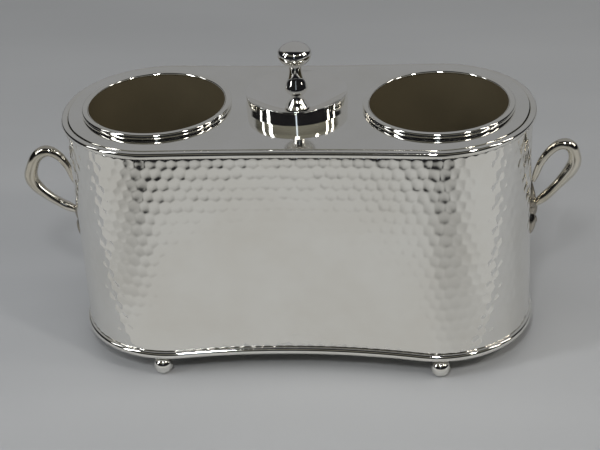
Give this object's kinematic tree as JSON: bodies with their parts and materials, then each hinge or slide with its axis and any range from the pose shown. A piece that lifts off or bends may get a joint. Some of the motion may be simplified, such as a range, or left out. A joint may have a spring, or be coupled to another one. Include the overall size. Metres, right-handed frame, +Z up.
{
  "type": "champagne bucket",
  "caption": "Silver champagne bucket with side-by-side bottle wells, a lidded ice chamber between them, looped end handles and ball feet.",
  "frame": {"origin": "on the table, under the middle of the bucket", "axes": "+Z up, X along the length through both bottle wells and both handles, Y across, with the front towards -Y"},
  "size_m": [0.4687, 0.1702, 0.2666],
  "materials": {
    "hammered_silver": "polished, hammered",
    "polished_silver": "polished",
    "brushed_silver": "brushed",
    "brass_fixing": "machined"
  },
  "bodies": {
    "bucket": {"body_wall": "hammered_silver", "base_plate": "brushed_silver", "base_moulding": "polished_silver", "rim_moulding": "polished_silver", "deck_plate": "polished_silver", "ice_collar": "brushed_silver", "well_tube_left": "brushed_silver", "well_tube_right": "brushed_silver", "well_floor_left": "brushed_silver", "well_floor_right": "brushed_silver", "well_collar_left": "polished_silver", "well_collar_right": "polished_silver", "foot_front_left": "polished_silver", "foot_front_right": "polished_silver", "foot_back_left": "polished_silver", "foot_back_right": "polished_silver", "foot_nut_front_left": "brass_fixing", "foot_nut_front_right": "brass_fixing", "foot_nut_back_left": "brass_fixing", "foot_nut_back_right": "brass_fixing", "handle_left": "polished_silver", "handle_right": "polished_silver", "handle_mount_left": "polished_silver", "handle_mount_right": "polished_silver"},
    "lid": {"lid_cap": "polished_silver", "lid_knob": "polished_silver", "knob_washer": "brass_fixing", "knob_nut": "brass_fixing"}
  },
  "joints": [
    {"name": "lid_lift", "type": "slide", "parent": "bucket", "child": "lid", "axis": [0, 0, 1], "range_m": [0, 0.06]}
  ]
}
